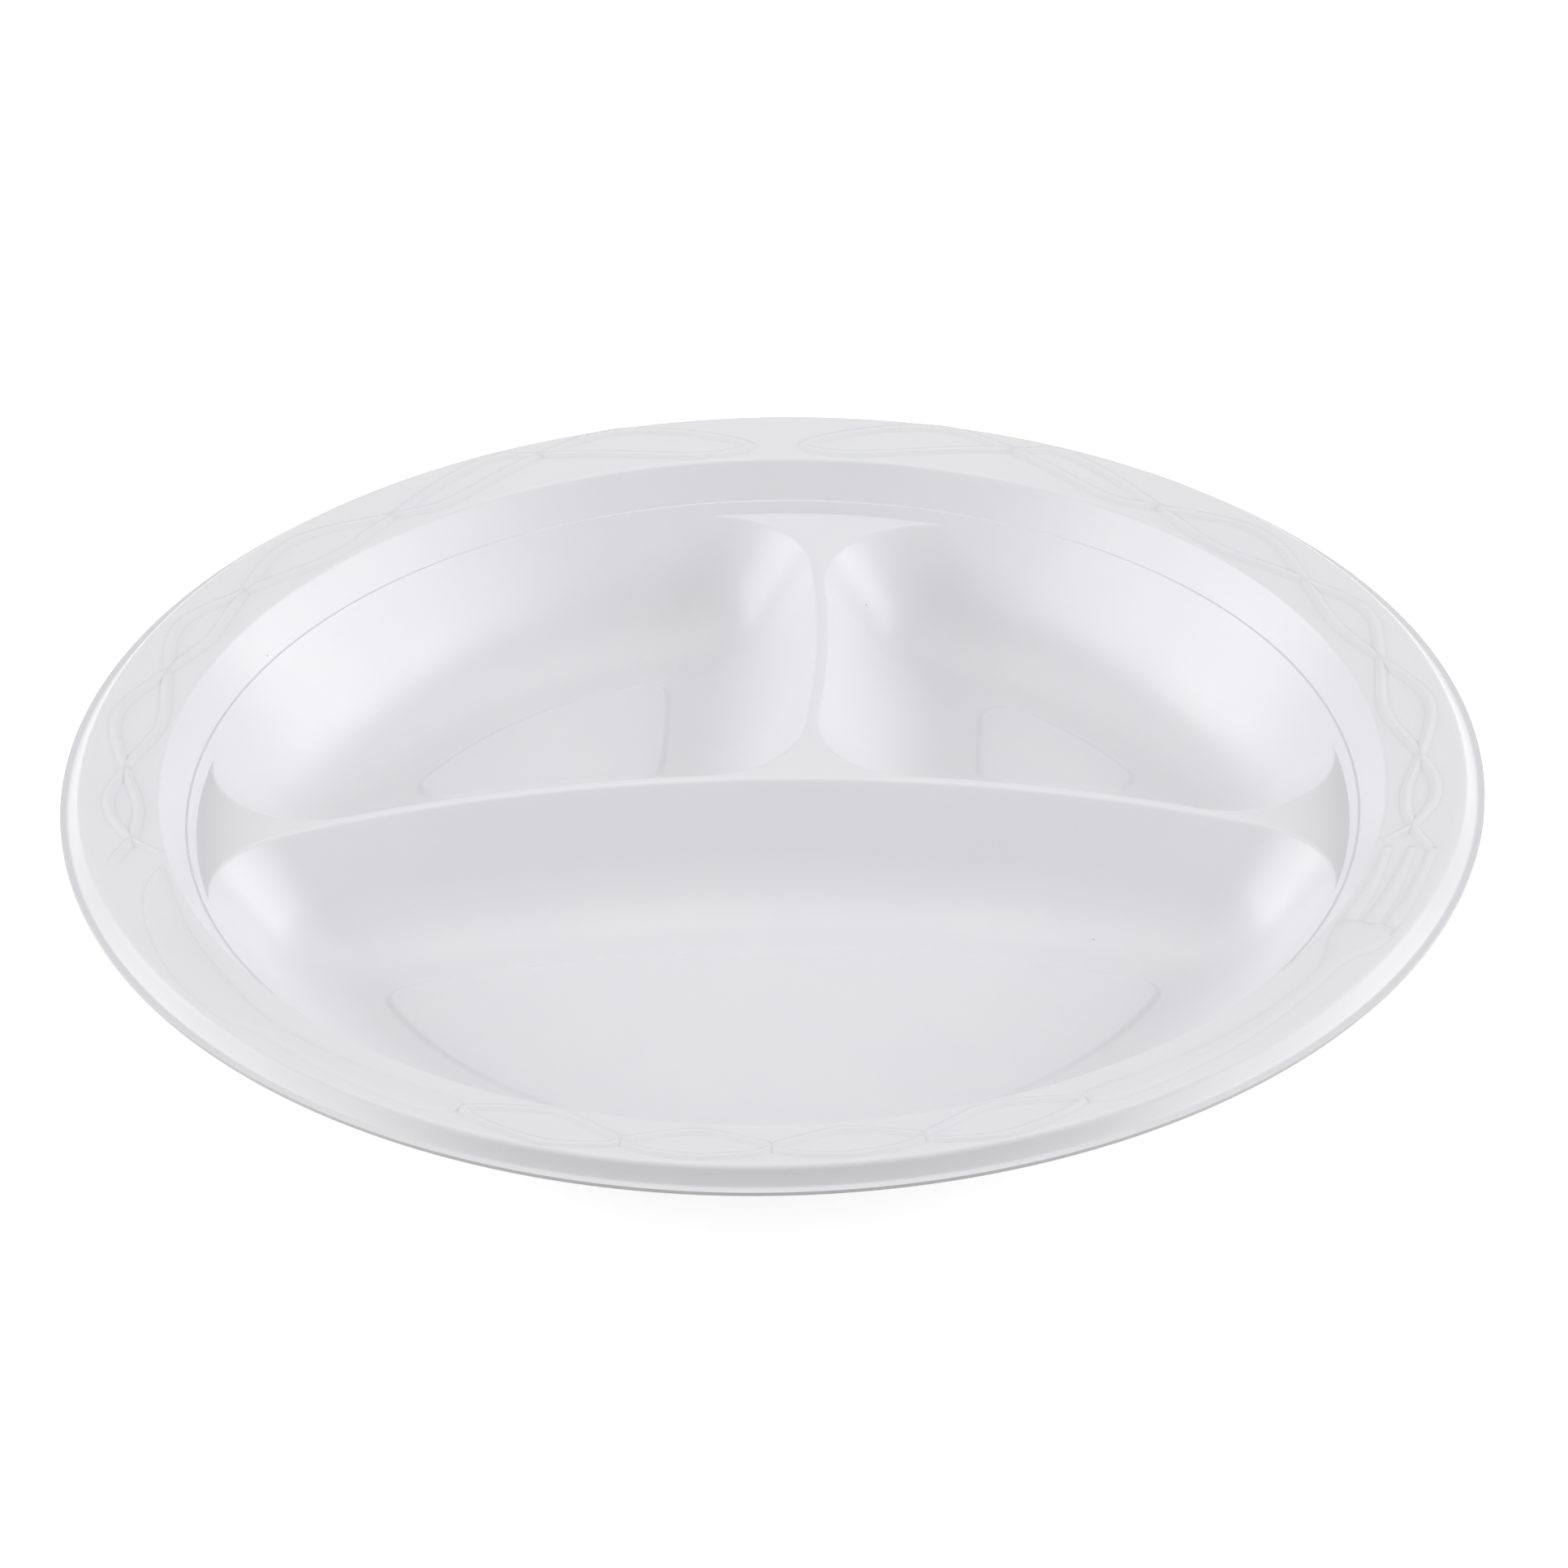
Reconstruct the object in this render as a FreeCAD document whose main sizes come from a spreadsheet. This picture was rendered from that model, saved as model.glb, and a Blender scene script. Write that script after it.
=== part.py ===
"""Three-compartment thermoformed plate, built as a parametric FreeCAD document, in millimetres.

The frame is +Z up with its origin at the middle of the plate, on the surface that it stands on.
The large compartment lies towards -Y, and the two small ones lie towards +Y.
The plate is one skin: rim, deck, dividers, compartments and panels are pressed from a single sheet.
"""
import FreeCAD, Part
import math
import os

import Sketcher
from FreeCAD import Vector

OUT_DIR = "parts"

# Driving dimensions. Each has one cell in the sheet, whose alias is its name.
SIZES = [
    # name, value, what it is
    ("plate_diameter", 228.6, "over the lip"),
    ("rim_peak", 26.1, "level where rim and skirt would meet, before that edge is rounded"),
    ("sheet_thickness", 0.6, "of the formed skin"),
    ("lip_width", 1.2, "flat lip outside the skirt"),
    ("lip_drop", 3.0, "from the rim's peak down to the lip"),
    ("skirt_run", 2.1, "how far the skirt flares"),
    ("rim_width", 12.4, "from the rim's inner edge to its outer edge"),
    ("rim_fall", 1.6, "how far the rim falls towards the middle"),
    ("step_run", 4.1, "width of the step wall, seen from above"),
    ("step_drop", 5.7, "height of the step wall"),
    ("ledge_width", 0.4, "fine ledge at the foot of the step wall"),
    ("kerb_run", 1.3, "width of the kerb between ledge and deck"),
    ("kerb_drop", 1.7, "height of the kerb"),
    ("wall_angle", 52.0, "degrees, slope of a compartment's wall"),
    ("floor_blend", 20.0, "radius between a wall and the floor"),
    ("crest_width", 1.6, "flat top of a divider"),
    ("crest_round", 1.3, "radius over each side of a divider's crest"),
    ("corner_top", 17.0, "corner radius of a compartment at the deck"),
    ("corner_floor", 5.0, "corner radius of a compartment at the floor"),
    ("cross_crest", 9.9, "how far behind the middle the long divider stands"),
    ("cross_radius", 211.0, "bow of the long divider"),
    ("back_crest", 7.9, "how far to the right the short divider stands"),
    ("back_middle", 54.4, "where along Y the short divider bows most"),
    ("back_radius", 220.0, "bow of the short divider"),
    ("panel_step", 0.4, "how far a panel stands above the floor round it"),
    ("panel_margin_rim", 2.1, "flat floor between the wall below the rim and a panel"),
    ("panel_margin_divider", 3.1, "flat floor between a divider's wall and a panel"),
    ("panel_corner", 3.5, "corner radius of a panel"),
    ("rim_round", 1.5, "radius over the rim's outer edge"),
    ("step_round", 1.2, "radius over the rim's inner edge"),
]

SECTION_COUNT = 8  # sections along a compartment's wall
MOUTH_COUNT = 4    # sections round the edge between deck and wall
NEAR = 0.05        # how close an edge lies to the place it is looked for at


def make_sheet(doc):
    """The spreadsheet of driving dimensions: name, value and meaning in each row."""
    sheet = doc.addObject("Spreadsheet::Sheet", "Sizes")
    for row, (name, value, meaning) in enumerate(SIZES, start=1):
        sheet.set(f"A{row}", name)
        sheet.set(f"B{row}", str(value))
        sheet.set(f"C{row}", meaning)
        sheet.setAlias(f"B{row}", name)
    doc.recompute()
    return sheet


DOC = FreeCAD.newDocument("plate")
SHEET = make_sheet(DOC)


def value(formula):
    """The number that a formula on the sheet's cells gives."""
    return float(SHEET.evalExpression(formula))


# Radii and heights of the food side, from the lip inwards, as formulas on the sheet.
LIP_RADIUS = "Sizes.plate_diameter / 2"
SKIRT_FOOT_RADIUS = f"({LIP_RADIUS} - Sizes.lip_width)"
RIM_OUTER_RADIUS = f"({SKIRT_FOOT_RADIUS} - Sizes.skirt_run)"
RIM_INNER_RADIUS = f"({RIM_OUTER_RADIUS} - Sizes.rim_width)"
LEDGE_OUTER_RADIUS = f"({RIM_INNER_RADIUS} - Sizes.step_run)"
LEDGE_INNER_RADIUS = f"({LEDGE_OUTER_RADIUS} - Sizes.ledge_width)"
DECK_RADIUS = f"({LEDGE_INNER_RADIUS} - Sizes.kerb_run)"
LIP_LEVEL = "(Sizes.rim_peak - Sizes.lip_drop)"
RIM_INNER_LEVEL = "(Sizes.rim_peak - Sizes.rim_fall)"
LEDGE_LEVEL = f"({RIM_INNER_LEVEL} - Sizes.step_drop)"
DECK_LEVEL = f"({LEDGE_LEVEL} - Sizes.kerb_drop)"
FLOOR_LEVEL = "Sizes.sheet_thickness"
WALL_ANGLE = "(Sizes.wall_angle * 1deg)"
MOUTH_FALL = f"(Sizes.crest_round * (1 - cos({WALL_ANGLE})))"
WALL_RUN = (f"(({DECK_LEVEL} - {FLOOR_LEVEL}) / tan({WALL_ANGLE})"
            f" + Sizes.floor_blend * tan({WALL_ANGLE} / 2))")

# The curves that bound the compartments: centre of the arc, radius, and half the width of the
# crest that stands on it. The rim's curve is the deck's edge, which has no crest.
CURVES = {
    "rim": ("0", "0", DECK_RADIUS, "0"),
    "cross": ("0", "(Sizes.cross_crest - Sizes.cross_radius)", "Sizes.cross_radius",
              "Sizes.crest_width / 2"),
    "back": ("(Sizes.back_crest - Sizes.back_radius)", "Sizes.back_middle", "Sizes.back_radius",
             "Sizes.crest_width / 2"),
}

# Each compartment's bounding curves, anticlockwise. True means that it lies inside that curve.
# With each curve comes a point near the corner where the curve ends.
LEFT_END = (f"-{DECK_RADIUS}", "0")
RIGHT_END = (DECK_RADIUS, "0")
BACK_END = ("Sizes.back_crest", DECK_RADIUS)
JUNCTION = ("Sizes.back_crest", "Sizes.cross_crest")
COMPARTMENTS = {
    "front": [("cross", True, LEFT_END), ("rim", True, RIGHT_END)],
    "back_left": [("rim", True, LEFT_END), ("cross", False, JUNCTION), ("back", True, BACK_END)],
    "back_right": [("rim", True, BACK_END), ("back", False, JUNCTION), ("cross", False, RIGHT_END)],
}


def pair(formulas):
    """A point on the plan whose two coordinates are given as formulas."""
    return Vector(value(formulas[0]), value(formulas[1]), 0)


def offset_radius(curve, inside, insets):
    """Formula for a bounding curve's radius, moved into the compartment by that curve's inset."""
    _, _, radius, half_crest = CURVES[curve]
    sign = "-" if inside else "+"
    return f"{radius} {sign} ({half_crest}) {sign} ({insets[curve]})"


def corner_centre(walls, index, insets, corner):
    """Centre of the arc that rounds the corner where walls[index] ends."""
    circles = []
    for curve, inside, _ in (walls[index], walls[(index + 1) % len(walls)]):
        centre = pair(CURVES[curve])
        reach = value(offset_radius(curve, inside, insets)) + (-corner if inside else corner)
        circles.append((centre, reach))
    (first, reach_1), (second, reach_2) = circles
    line = second - first
    along = (line.Length ** 2 + reach_1 ** 2 - reach_2 ** 2) / (2 * line.Length)
    across = math.sqrt(reach_1 ** 2 - along ** 2)
    line.normalize()
    foot = first + line * along
    side = Vector(-line.y, line.x, 0) * across
    near = pair(walls[index][2])
    return min((foot + side, foot - side), key=lambda point: point.distanceToPoint(near))


def arc(centre, radius, start, end):
    """Arc of a circle, anticlockwise from the direction start to the direction end."""
    first = math.atan2(start.y, start.x)
    last = math.atan2(end.y, end.x)
    circle = Part.Circle(centre, Vector(0, 0, 1), radius)
    return Part.ArcOfCircle(circle, first, last if last > first else last + 2 * math.pi)


def draw_outline(sketch, walls, insets, corner):
    """Draw a rounded outline in a sketch: each curve moved in by its inset, then the corners."""
    corner_radius = value(corner)
    centres = [corner_centre(walls, index, insets, corner_radius) for index in range(len(walls))]
    ends = []
    for index, (curve, inside, _) in enumerate(walls):
        middle = pair(CURVES[curve])
        entry = centres[index - 1] - middle
        leave = centres[index] - middle
        start, end = (entry, leave) if inside else (leave, entry)
        radius = value(offset_radius(curve, inside, insets))
        wall = sketch.addGeometry(arc(middle, radius, start, end))
        ends.append((wall, 1, 2) if inside else (wall, 2, 1))
        following, following_inside, _ = walls[(index + 1) % len(walls)]
        outward = leave if inside else -leave
        onward = centres[index] - pair(CURVES[following])
        outward_next = onward if following_inside else -onward
        bend = sketch.addGeometry(arc(centres[index], corner_radius, outward, outward_next))
        ends.append((bend, 1, 2))
    for index, (edge, _, last) in enumerate(ends):
        following, first, _ = ends[(index + 1) % len(ends)]
        sketch.addConstraint(Sketcher.Constraint("Tangent", edge, last, following, first))
    for index, (curve, inside, _) in enumerate(walls):
        edge = ends[2 * index][0]
        x_formula, y_formula, _, _ = CURVES[curve]
        hold_centre(sketch, edge, x_formula, y_formula)
        hold(sketch, "Radius", (edge,), offset_radius(curve, inside, insets))
        hold(sketch, "Radius", (ends[2 * index + 1][0],), corner)


def hold(sketch, kind, where, formula):
    """Add a constraint whose value is bound to a formula on the sheet's cells."""
    index = sketch.addConstraint(Sketcher.Constraint(kind, *where, value(formula)))
    sketch.setExpression(f"Constraints[{index}]", formula)


def hold_centre(sketch, edge, x_formula, y_formula):
    """Hold an arc's centre on the origin, on the Y axis, or at two distances from the origin."""
    if x_formula == "0" and y_formula == "0":
        sketch.addConstraint(Sketcher.Constraint("Coincident", edge, 3, -1, 1))
        return
    if x_formula == "0":
        sketch.addConstraint(Sketcher.Constraint("PointOnObject", edge, 3, -2))
    else:
        hold(sketch, "DistanceX", (-1, 1, edge, 3), x_formula)
    hold(sketch, "DistanceY", (-1, 1, edge, 3), y_formula)


def plane_of(body, role):
    """One of a body's own origin planes."""
    return next(plane for plane in body.Origin.OriginFeatures if plane.Role == role)


def level_sketch(body, name, level):
    """An empty sketch that lies flat at a level given as a formula."""
    sketch = body.newObject("Sketcher::SketchObject", name)
    sketch.AttachmentSupport = (plane_of(body, "XY_Plane"), [""])
    sketch.MapMode = "FlatFace"
    sketch.setExpression("AttachmentOffset.Base.z", level)
    return sketch


def wall_point(step, start):
    """Inset, level and slope of the food side's wall at one section, as formulas.

    The wall runs straight down, from a fall below the deck given by start, and then round the
    floor's blend. Sections are spread evenly along that path; slope is the angle from horizontal.
    """
    fall = f"({DECK_LEVEL} - {FLOOR_LEVEL} - Sizes.floor_blend * (1 - cos({WALL_ANGLE})))"
    straight = value(f"({fall} - {start}) / sin({WALL_ANGLE})")
    bend = value("Sizes.floor_blend * Sizes.wall_angle") * math.pi / 180
    reach = (straight + bend) * step / (SECTION_COUNT - 1)
    if reach < straight:
        share = reach / straight
        drop = f"({start} + {share} * ({fall} - {start}))"
        return f"{drop} / tan({WALL_ANGLE})", f"{DECK_LEVEL} - {drop}", WALL_ANGLE
    share = 1 - (reach - straight) / bend
    slope = f"({share} * {WALL_ANGLE})"
    inset = f"{WALL_RUN} - Sizes.floor_blend * sin({slope})"
    level = f"{FLOOR_LEVEL} + Sizes.floor_blend * (1 - cos({slope}))"
    return inset, level, slope


def corner_size(inset):
    """Corner radius of a compartment at an inset from the deck's edge, as a formula."""
    return f"Sizes.corner_top - (Sizes.corner_top - Sizes.corner_floor) * ({inset}) / {WALL_RUN}"


def loft_between(body, name, kind, sketches, ruled):
    """Add or cut the solid that passes through a row of sketches, smoothly or in straight bands."""
    DOC.recompute()
    loft = body.newObject(kind, name)
    loft.Profile = sketches[0]
    loft.Sections = sketches[1:]
    loft.Ruled = ruled
    DOC.recompute()
    return loft


def make_cup(body, name, walls, kind, thickness, start):
    """Loft one compartment's wall and floor, moved out from the food side by a thickness."""
    sketches = []
    for step in range(SECTION_COUNT):
        inset, level, slope = wall_point(step, start)
        corner = f"{corner_size(inset)} + {thickness} * sin({slope})"
        under = f"{level} - {thickness} * cos({slope})"
        sketch = level_sketch(body, f"{name}_section_{step}", under)
        even_inset = f"({inset}) - {thickness} * sin({slope})"
        draw_outline(sketch, walls, dict.fromkeys(CURVES, even_inset), corner)
        sketches.append(sketch)
    return loft_between(body, name, kind, sketches, ruled=False)


def make_mouth(body, name, walls):
    """Round the deck over into one compartment along its dividers, and not along the rim."""
    sketches = []
    for step in range(MOUTH_COUNT):
        turn = f"({step / (MOUTH_COUNT - 1)} * {WALL_ANGLE})"
        fall = f"Sizes.crest_round * (1 - cos({turn}))"
        wall_inset = f"{fall} / tan({WALL_ANGLE})"
        crest_inset = f"Sizes.crest_round * (sin({turn}) - tan({WALL_ANGLE} / 2))"
        insets = dict.fromkeys(CURVES, crest_inset)
        insets["rim"] = wall_inset
        sketch = level_sketch(body, f"{name}_section_{step}", f"{DECK_LEVEL} - {fall}")
        draw_outline(sketch, walls, insets, corner_size(wall_inset))
        sketches.append(sketch)
    return loft_between(body, name, "PartDesign::SubtractiveLoft", sketches, ruled=True)


def make_panel(body, name, walls, kind, grow, bottom_level):
    """Pad or pocket one compartment's raised panel, grown by a formula, from a level up."""
    insets = {curve: f"{WALL_RUN} + Sizes.panel_margin_divider - {grow}" for curve in CURVES}
    insets["rim"] = f"{WALL_RUN} + Sizes.panel_margin_rim - {grow}"
    sketch = level_sketch(body, f"{name}_outline", bottom_level)
    draw_outline(sketch, walls, insets, f"Sizes.panel_corner + {grow}")
    DOC.recompute()
    panel = body.newObject(kind, name)
    panel.Profile = sketch
    panel.Reversed = kind == "PartDesign::Pocket"
    panel.setExpression("Length", "Sizes.panel_step")
    DOC.recompute()
    return panel


def upright_sketch(body, name):
    """An empty sketch on the plane that holds the plate's axis."""
    sketch = body.newObject("Sketcher::SketchObject", name)
    sketch.AttachmentSupport = (plane_of(body, "XZ_Plane"), [""])
    sketch.MapMode = "FlatFace"
    return sketch


def offset_path(points, distance):
    """The path at a distance below a path of points, with its corners mitred."""
    moved = []
    for index, point in enumerate(points):
        before = point - points[index - 1] if index else points[1] - point
        after = points[index + 1] - point if index < len(points) - 1 else before
        normals = []
        for run in (before, after):
            run.normalize()
            normals.append(Vector(-run.y, run.x, 0))
        mitre = normals[0] + normals[1]
        mitre.normalize()
        moved.append(point + mitre * (distance / mitre.dot(normals[0])))
    return moved


def draw_skin(sketch):
    """Draw the section of the rim, the step and the deck, from the lip to the axis.

    The food side is set out from the sheet's cells. Each line of the underside is parallel to
    its line on the food side, one thickness away.
    """
    corners = [(LIP_RADIUS, LIP_LEVEL), (SKIRT_FOOT_RADIUS, LIP_LEVEL),
               (RIM_OUTER_RADIUS, "Sizes.rim_peak"), (RIM_INNER_RADIUS, RIM_INNER_LEVEL),
               (LEDGE_OUTER_RADIUS, LEDGE_LEVEL), (LEDGE_INNER_RADIUS, LEDGE_LEVEL),
               (DECK_RADIUS, DECK_LEVEL), ("0", DECK_LEVEL)]
    upper = [pair(corner) for corner in corners]
    lower = offset_path(upper, value("Sizes.sheet_thickness"))
    loop = upper + lower[::-1]
    for index, point in enumerate(loop):
        sketch.addGeometry(Part.LineSegment(point, loop[(index + 1) % len(loop)]))
    for index in range(len(loop)):
        following = (index + 1) % len(loop)
        sketch.addConstraint(Sketcher.Constraint("Coincident", index, 2, following, 1))
    for index, (across, up) in enumerate(corners):
        if across == "0":
            sketch.addConstraint(Sketcher.Constraint("PointOnObject", index, 1, -2))
        else:
            hold(sketch, "DistanceX", (-1, 1, index, 1), across)
        hold(sketch, "DistanceY", (-1, 1, index, 1), up)
    last = len(corners) - 1
    for index in range(last):
        under = 2 * last - index
        sketch.addConstraint(Sketcher.Constraint("Parallel", index, under))
        hold(sketch, "Distance", (under, 1, index), "Sizes.sheet_thickness")
    sketch.addConstraint(Sketcher.Constraint("Vertical", last))
    sketch.addConstraint(Sketcher.Constraint("Vertical", 2 * last + 1))


def ring_edges(shape, radius, level):
    """Names of the edges that lie at a radius and a level about the axis."""
    names = []
    for index, edge in enumerate(shape.Edges, start=1):
        middle = edge.valueAt((edge.FirstParameter + edge.LastParameter) / 2)
        at_radius = abs(math.hypot(middle.x, middle.y) - radius) < NEAR
        if at_radius and abs(middle.z - level) < NEAR:
            names.append(f"Edge{index}")
    return names


def round_ring(body, name, ring_radius, level, fillet_radius):
    """Fillet the round edge of a body's last feature that lies at a radius and a level."""
    base = body.Tip
    names = ring_edges(base.Shape, value(ring_radius), value(level))
    fillet = body.newObject("PartDesign::Fillet", name)
    fillet.Base = (base, names)
    fillet.setExpression("Radius", fillet_radius)
    DOC.recompute()
    return fillet


def make_plate():
    """The whole plate, as one body."""
    body = DOC.addObject("PartDesign::Body", "plate")
    body.Label = "plate"
    skin_sketch = upright_sketch(body, "skin_profile")
    draw_skin(skin_sketch)
    skin = body.newObject("PartDesign::Revolution", "skin")
    skin.Profile = skin_sketch
    skin.ReferenceAxis = (skin_sketch, ["V_Axis"])
    skin.Angle = 360
    DOC.recompute()
    round_ring(body, "rim_edge", RIM_OUTER_RADIUS, "Sizes.rim_peak", "Sizes.rim_round")
    round_ring(body, "step_edge", RIM_INNER_RADIUS, RIM_INNER_LEVEL, "Sizes.step_round")
    for name, walls in COMPARTMENTS.items():
        make_cup(body, f"{name}_outside", walls, "PartDesign::AdditiveLoft",
                 "Sizes.sheet_thickness", "0")
    for name, walls in COMPARTMENTS.items():
        make_cup(body, f"{name}_inside", walls, "PartDesign::SubtractiveLoft", "0", MOUTH_FALL)
        make_mouth(body, f"{name}_mouth", walls)
    for name, walls in COMPARTMENTS.items():
        make_panel(body, f"{name}_panel", walls, "PartDesign::Pad", "0", FLOOR_LEVEL)
        make_panel(body, f"{name}_hollow", walls, "PartDesign::Pocket",
                   "(-Sizes.sheet_thickness)", "0")
    return body


def main():
    """Build the plate, check every object and write its file."""
    os.makedirs(OUT_DIR, exist_ok=True)
    plate = make_plate()
    DOC.recompute()
    for item in DOC.Objects:
        if "Invalid" in item.State or "Error" in item.State:
            raise RuntimeError(f"{item.Name} did not build: {item.State}")
    if plate.Shape.isNull() or not plate.Shape.isValid():
        raise RuntimeError("plate has no valid solid")
    box = plate.Shape.BoundBox
    print(f"plate: {len(plate.Shape.Solids)} solid, volume {plate.Shape.Volume:.0f} mm3, "
          f"{box.XLength:.1f} x {box.YLength:.1f} x {box.ZLength:.1f} mm")
    plate.Shape.exportStep(os.path.join(OUT_DIR, f"{plate.Label}.step"))


main()
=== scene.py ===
"""Three-compartment moulded plate, as a Blender add-on that is run as a script.

The plate is one thermoformed sheet, so its skin is one piece. The raised motif on the rim is a
second piece that lies on it. Sizes are in metres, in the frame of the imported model: +Z up, the
origin under the middle of the plate, and the large compartment towards -Y.
"""
import math

import bmesh
import bpy
from mathutils import Matrix, Vector


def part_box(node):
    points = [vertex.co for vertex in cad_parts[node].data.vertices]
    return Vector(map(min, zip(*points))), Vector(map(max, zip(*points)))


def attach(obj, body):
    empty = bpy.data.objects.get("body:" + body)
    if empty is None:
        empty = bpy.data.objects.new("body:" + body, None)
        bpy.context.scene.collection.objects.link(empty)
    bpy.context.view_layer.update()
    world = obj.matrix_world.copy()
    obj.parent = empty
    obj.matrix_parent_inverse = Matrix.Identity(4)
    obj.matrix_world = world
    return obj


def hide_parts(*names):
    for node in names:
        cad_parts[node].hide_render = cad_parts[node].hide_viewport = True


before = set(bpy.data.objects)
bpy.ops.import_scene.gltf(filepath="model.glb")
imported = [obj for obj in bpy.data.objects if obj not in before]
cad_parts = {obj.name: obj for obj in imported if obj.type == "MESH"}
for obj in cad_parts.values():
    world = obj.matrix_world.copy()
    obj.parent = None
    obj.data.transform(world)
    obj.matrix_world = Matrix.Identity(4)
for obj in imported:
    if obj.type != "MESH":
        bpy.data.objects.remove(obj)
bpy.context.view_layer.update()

bl_info = {
    "name": "Three-compartment plate",
    "version": (1, 0, 0),
    "blender": (4, 5, 0),
    "location": "3D View > Sidebar > Plate",
    "description": "Builds a thermoformed plate with three compartments and a raised rim motif",
    "category": "Add Mesh",
}

PLATE_LOW, PLATE_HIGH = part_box("plate")
MM = 0.001
LIP_RADIUS = (PLATE_HIGH[0] - PLATE_LOW[0]) / 2
TOP_LEVEL = PLATE_HIGH[2]


def size(label, description, default):
    """A length in metres, for a property group."""
    return bpy.props.FloatProperty(name=label, description=description, default=default,
                                   subtype="DISTANCE", unit="LENGTH")


def angle(label, description, degrees):
    """An angle, for a property group."""
    return bpy.props.FloatProperty(name=label, description=description,
                                   default=math.radians(degrees), subtype="ANGLE", unit="ROTATION")


def factor(label, description, default):
    """A plain number, for a property group."""
    return bpy.props.FloatProperty(name=label, description=description, default=default)


def tint(label, description, default):
    """A colour as a hex string, for a property group."""
    return bpy.props.StringProperty(name=label, description=description, default=default)


class PLATE_PG_skin(bpy.types.PropertyGroup):
    """Sizes of the pressed sheet."""

    sheet: size("Sheet", "Thickness of the formed sheet", 0.6 * MM)
    lip_radius: size("Lip radius", "From the axis to the edge of the lip", LIP_RADIUS)
    lip_width: size("Lip width", "Flat lip outside the skirt", 1.2 * MM)
    rim_peak: size("Rim peak", "Level where rim and skirt would meet", TOP_LEVEL - 0.2 * MM)
    lip_drop: size("Lip drop", "From the rim's peak down to the lip", 2.7 * MM)
    skirt_run: size("Skirt run", "How far the skirt flares", 2.1 * MM)
    rim_width: size("Rim width", "From the rim's inner edge to its outer edge", 12.4 * MM)
    rim_fall: size("Rim fall", "How far the rim falls towards the middle", 1.3 * MM)
    step_run: size("Step run", "Width of the step wall, seen from above", 4.1 * MM)
    step_drop: size("Step drop", "Height of the step wall", 5.7 * MM)
    ledge_width: size("Ledge width", "Fine ledge at the foot of the step wall", 0.4 * MM)
    kerb_run: size("Kerb run", "Width of the kerb between ledge and deck", 1.3 * MM)
    kerb_drop: size("Kerb drop", "Height of the kerb", 1.7 * MM)
    rim_round: size("Rim round", "Radius over the rim's outer edge", 1.5 * MM)
    step_round: size("Step round", "Radius over the rim's inner edge", 1.2 * MM)
    skirt_round: size("Skirt round", "Radius between the skirt and the lip", 0.5 * MM)
    wall_angle: angle("Wall angle", "Slope of a compartment's wall", 52)
    floor_blend: size("Floor blend", "Radius between a wall and the floor", 20 * MM)
    crest_width: size("Crest width", "Width of a divider's flat top before it is rounded", 1.6 * MM)
    crest_round: size("Crest round", "Radius over each side of a divider's crest", 1.3 * MM)
    corner_top: size("Corner at deck", "Corner radius of a compartment at the deck", 17 * MM)
    corner_floor: size("Corner at floor", "Corner radius of a compartment at the floor", 5 * MM)
    cross_crest: size("Long divider", "How far behind the middle the long divider stands", 9.9 * MM)
    cross_radius: size("Long divider's bow", "Radius of the long divider", 211 * MM)
    back_crest: size("Short divider", "How far right the short divider stands", 7.9 * MM)
    back_middle: size("Short divider's middle", "Where along Y it bows most", 54.4 * MM)
    back_radius: size("Short divider's bow", "Radius of the short divider", 220 * MM)
    panel_step: size("Panel step", "How far a panel stands above the floor round it", 0.4 * MM)
    panel_margin_rim: size("Panel to rim wall",
                           "Flat floor between the wall below the rim and a panel", 2.1 * MM)
    panel_margin_divider: size("Panel to divider",
                               "Flat floor between a divider's wall and a panel", 3.1 * MM)
    panel_corner: size("Panel corner", "Corner radius of a panel", 3.5 * MM)
    panel_blend: size("Panel blend", "Width of the soft step round a panel", 1.4 * MM)
    spacing: size("Spacing", "Length of an edge along an outline", 1.6 * MM)


class PLATE_PG_motif(bpy.types.PropertyGroup):
    """Sizes of the raised lines and shapes on the rim."""

    line_width: size("Line width", "Width of a raised line at its foot", 2.3 * MM)
    line_height: size("Line height", "Height of a raised line", 0.46 * MM)
    shape_height: size("Shape height", "Height of the raised knife and fork", 0.42 * MM)
    tine_height: size("Tine height", "Height of the fork's tines", 0.34 * MM)
    shape_edge: size("Shape edge", "Width of the soft edge of a raised shape", 1.0 * MM)
    sink: size("Sink", "How deep the foot of a raised line lies in the sheet", 0.02 * MM)
    backing: size("Backing", "Thickness of a raised line's body in the sheet", 0.3 * MM)


class PLATE_PG_finish(bpy.types.PropertyGroup):
    """Colours and gloss of the plastic, and the studio."""

    plastic: tint("Plastic", "Colour of the sheet", "#E8E8EB")
    plastic_shade: tint("Plastic shade", "Colour of its faint clouding", "#E4E4E8")
    roughness: factor("Roughness", "Roughness of the satin skin", 0.29)
    floor: tint("Floor", "Colour of the studio's floor", "#FFFFFF")
    camera_place: bpy.props.FloatVectorProperty(
        name="Camera", description="Place of the camera", size=3, subtype="TRANSLATION",
        default=(0.0202, -1.10205, 0.73175))
    camera_aim: bpy.props.FloatVectorProperty(
        name="Aim", description="Point in the middle of the view", size=3,
        subtype="TRANSLATION", default=(0.00179, 0.00759, 0.017))
    camera_roll: angle("Roll", "Turn of the camera about its line of sight", -1.111)
    lens: bpy.props.FloatProperty(name="Lens", description="Focal length on a 36 mm sensor",
                                  default=187.09, subtype="DISTANCE_CAMERA")


# ---------------------------------------------------------------- outlines of the compartments

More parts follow.
